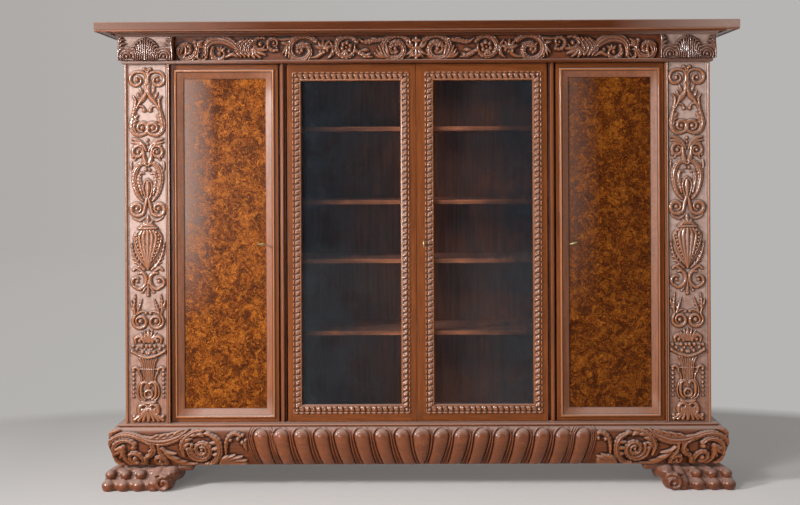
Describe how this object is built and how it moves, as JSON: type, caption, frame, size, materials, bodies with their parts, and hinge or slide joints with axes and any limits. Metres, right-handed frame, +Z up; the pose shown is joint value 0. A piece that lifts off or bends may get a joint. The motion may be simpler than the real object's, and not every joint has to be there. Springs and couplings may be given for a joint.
{
  "type": "bookcase with glass doors",
  "caption": "Long low bookcase with carved pilasters, a moulded cornice, burl-panelled outer doors, glazed centre doors and carved lion-paw feet.",
  "frame": {"origin": "on the floor, under the middle of the bookcase's bounding box", "axes": "+X to the right seen from the front, +Y to the back, +Z up"},
  "size_m": [2.67, 0.567, 1.956],
  "materials": {
    "base_front": "stained walnut, waxed",
    "base_side_l": "stained walnut, waxed",
    "base_side_r": "stained walnut, waxed",
    "base_back": "dark unpolished wood",
    "paw_foot_l": "stained walnut, waxed",
    "paw_foot_r": "stained walnut, waxed",
    "rear_foot_l": "dark unpolished wood",
    "rear_foot_r": "dark unpolished wood",
    "bottom_board": "stained walnut, waxed",
    "top_board": "stained walnut, waxed",
    "side_l": "stained walnut, waxed",
    "side_r": "stained walnut, waxed",
    "partition_l": "stained walnut, waxed",
    "partition_r": "stained walnut, waxed",
    "back_panel": "dark unpolished wood",
    "pilaster_l": "stained walnut, waxed",
    "pilaster_r": "stained walnut, waxed",
    "centre_shelf_1": "stained walnut, waxed",
    "centre_shelf_2": "stained walnut, waxed",
    "centre_shelf_3": "stained walnut, waxed",
    "centre_shelf_4": "stained walnut, waxed",
    "left_shelf_1": "stained walnut, waxed",
    "left_shelf_2": "stained walnut, waxed",
    "right_shelf_1": "stained walnut, waxed",
    "right_shelf_2": "stained walnut, waxed",
    "frieze_rail": "stained walnut, waxed",
    "corner_block_l": "stained walnut, waxed",
    "corner_block_r": "stained walnut, waxed",
    "cornice": "stained walnut, waxed",
    "left_panel_door_pivot_low": "worn satin brass",
    "left_panel_door_pivot_top": "worn satin brass",
    "right_panel_door_pivot_low": "worn satin brass",
    "right_panel_door_pivot_top": "worn satin brass",
    "left_glass_door_pivot_low": "worn satin brass",
    "left_glass_door_pivot_top": "worn satin brass",
    "right_glass_door_pivot_low": "worn satin brass",
    "right_glass_door_pivot_top": "worn satin brass",
    "left_panel_door_frame": "stained walnut, waxed",
    "left_panel_door_moulding": "stained walnut, waxed",
    "left_panel_door_panel": "burl walnut veneer, polished",
    "left_panel_door_lock_case": "dark iron, dull",
    "right_panel_door_frame": "stained walnut, waxed",
    "right_panel_door_moulding": "stained walnut, waxed",
    "right_panel_door_panel": "burl walnut veneer, polished",
    "right_panel_door_lock_case": "dark iron, dull",
    "left_glass_door_frame": "stained walnut, waxed",
    "left_glass_door_moulding": "stained walnut, waxed",
    "left_glass_door_pane": "old clear glass, slightly dark",
    "right_glass_door_frame": "stained walnut, waxed",
    "right_glass_door_moulding": "stained walnut, waxed",
    "right_glass_door_pane": "old clear glass, slightly dark",
    "right_glass_door_lock_case": "dark iron, dull",
    "left_panel_door_key": "worn satin brass",
    "left_panel_door_lock_bolt": "worn satin brass",
    "right_panel_door_key": "worn satin brass",
    "right_panel_door_lock_bolt": "worn satin brass",
    "right_glass_door_key": "worn satin brass",
    "right_glass_door_lock_bolt": "worn satin brass",
    "flush_bolt_top": "worn satin brass",
    "flush_bolt_low": "worn satin brass"
  },
  "bodies": {
    "cabinet": {"base_front": "base_front", "base_side_l": "base_side_l", "base_side_r": "base_side_r", "base_back": "base_back", "paw_foot_l": "paw_foot_l", "paw_foot_r": "paw_foot_r", "rear_foot_l": "rear_foot_l", "rear_foot_r": "rear_foot_r", "bottom_board": "bottom_board", "top_board": "top_board", "side_l": "side_l", "side_r": "side_r", "partition_l": "partition_l", "partition_r": "partition_r", "back_panel": "back_panel", "pilaster_l": "pilaster_l", "pilaster_r": "pilaster_r", "centre_shelf_1": "centre_shelf_1", "centre_shelf_2": "centre_shelf_2", "centre_shelf_3": "centre_shelf_3", "centre_shelf_4": "centre_shelf_4", "left_shelf_1": "left_shelf_1", "left_shelf_2": "left_shelf_2", "right_shelf_1": "right_shelf_1", "right_shelf_2": "right_shelf_2", "frieze_rail": "frieze_rail", "corner_block_l": "corner_block_l", "corner_block_r": "corner_block_r", "cornice": "cornice", "left_panel_door_pivot_low": "left_panel_door_pivot_low", "left_panel_door_pivot_top": "left_panel_door_pivot_top", "right_panel_door_pivot_low": "right_panel_door_pivot_low", "right_panel_door_pivot_top": "right_panel_door_pivot_top", "left_glass_door_pivot_low": "left_glass_door_pivot_low", "left_glass_door_pivot_top": "left_glass_door_pivot_top", "right_glass_door_pivot_low": "right_glass_door_pivot_low", "right_glass_door_pivot_top": "right_glass_door_pivot_top"},
    "left_panel_door": {"left_panel_door_frame": "left_panel_door_frame", "left_panel_door_moulding": "left_panel_door_moulding", "left_panel_door_panel": "left_panel_door_panel", "left_panel_door_lock_case": "left_panel_door_lock_case"},
    "right_panel_door": {"right_panel_door_frame": "right_panel_door_frame", "right_panel_door_moulding": "right_panel_door_moulding", "right_panel_door_panel": "right_panel_door_panel", "right_panel_door_lock_case": "right_panel_door_lock_case"},
    "left_glass_door": {"left_glass_door_frame": "left_glass_door_frame", "left_glass_door_moulding": "left_glass_door_moulding", "left_glass_door_pane": "left_glass_door_pane"},
    "right_glass_door": {"right_glass_door_frame": "right_glass_door_frame", "right_glass_door_moulding": "right_glass_door_moulding", "right_glass_door_pane": "right_glass_door_pane", "right_glass_door_lock_case": "right_glass_door_lock_case"},
    "left_panel_door_key": {"left_panel_door_key": "left_panel_door_key"},
    "left_panel_door_bolt": {"left_panel_door_lock_bolt": "left_panel_door_lock_bolt"},
    "right_panel_door_key": {"right_panel_door_key": "right_panel_door_key"},
    "right_panel_door_bolt": {"right_panel_door_lock_bolt": "right_panel_door_lock_bolt"},
    "right_glass_door_key": {"right_glass_door_key": "right_glass_door_key"},
    "right_glass_door_bolt": {"right_glass_door_lock_bolt": "right_glass_door_lock_bolt"},
    "flush_bolt_top": {"flush_bolt_top": "flush_bolt_top"},
    "flush_bolt_low": {"flush_bolt_low": "flush_bolt_low"}
  },
  "joints": [
    {"name": "left_panel_door_hinge", "type": "hinge", "parent": "cabinet", "child": "left_panel_door", "pos_m": [-1.0245, -0.14, 0.2743], "axis": [0, 0, -1], "range_deg": [0, 95]},
    {"name": "right_panel_door_hinge", "type": "hinge", "parent": "cabinet", "child": "right_panel_door", "pos_m": [1.0245, -0.14, 0.2743], "axis": [0, 0, 1], "range_deg": [0, 95]},
    {"name": "left_glass_door_hinge", "type": "hinge", "parent": "cabinet", "child": "left_glass_door", "pos_m": [-0.532, -0.14, 0.2743], "axis": [0, 0, -1], "range_deg": [0, 108]},
    {"name": "right_glass_door_hinge", "type": "hinge", "parent": "cabinet", "child": "right_glass_door", "pos_m": [0.532, -0.14, 0.2743], "axis": [0, 0, 1], "range_deg": [0, 108]},
    {"name": "left_panel_door_key_turn", "type": "hinge", "parent": "left_panel_door", "child": "left_panel_door_key", "pos_m": [-0.657, -0.1465, 1.027], "axis": [0, 1, 0], "range_deg": [0, 90]},
    {"name": "left_panel_door_bolt_slide", "type": "slide", "parent": "left_panel_door", "child": "left_panel_door_bolt", "axis": [1, 0, 0], "range_m": [0, 0.012]},
    {"name": "right_panel_door_key_turn", "type": "hinge", "parent": "right_panel_door", "child": "right_panel_door_key", "pos_m": [0.657, -0.1465, 1.027], "axis": [0, 1, 0], "range_deg": [0, 90]},
    {"name": "right_panel_door_bolt_slide", "type": "slide", "parent": "right_panel_door", "child": "right_panel_door_bolt", "axis": [-1, 0, 0], "range_m": [0, 0.012]},
    {"name": "right_glass_door_key_turn", "type": "hinge", "parent": "right_glass_door", "child": "right_glass_door_key", "pos_m": [0.0265, -0.1465, 1.027], "axis": [0, 1, 0], "range_deg": [0, 90]},
    {"name": "right_glass_door_bolt_slide", "type": "slide", "parent": "right_glass_door", "child": "right_glass_door_bolt", "axis": [-1, 0, 0], "range_m": [0, 0.012]},
    {"name": "flush_bolt_top_slide", "type": "slide", "parent": "left_glass_door", "child": "flush_bolt_top", "axis": [0, 0, 1], "range_m": [0, 0.012]},
    {"name": "flush_bolt_low_slide", "type": "slide", "parent": "left_glass_door", "child": "flush_bolt_low", "axis": [0, 0, -1], "range_m": [0, 0.012]}
  ],
  "couplings": [
    {"joint": "left_panel_door_bolt_slide", "follows": "left_panel_door_key_turn", "m_per_rad": 0.0076387},
    {"joint": "right_panel_door_bolt_slide", "follows": "right_panel_door_key_turn", "m_per_rad": 0.0076387},
    {"joint": "right_glass_door_bolt_slide", "follows": "right_glass_door_key_turn", "m_per_rad": 0.0076387}
  ]
}
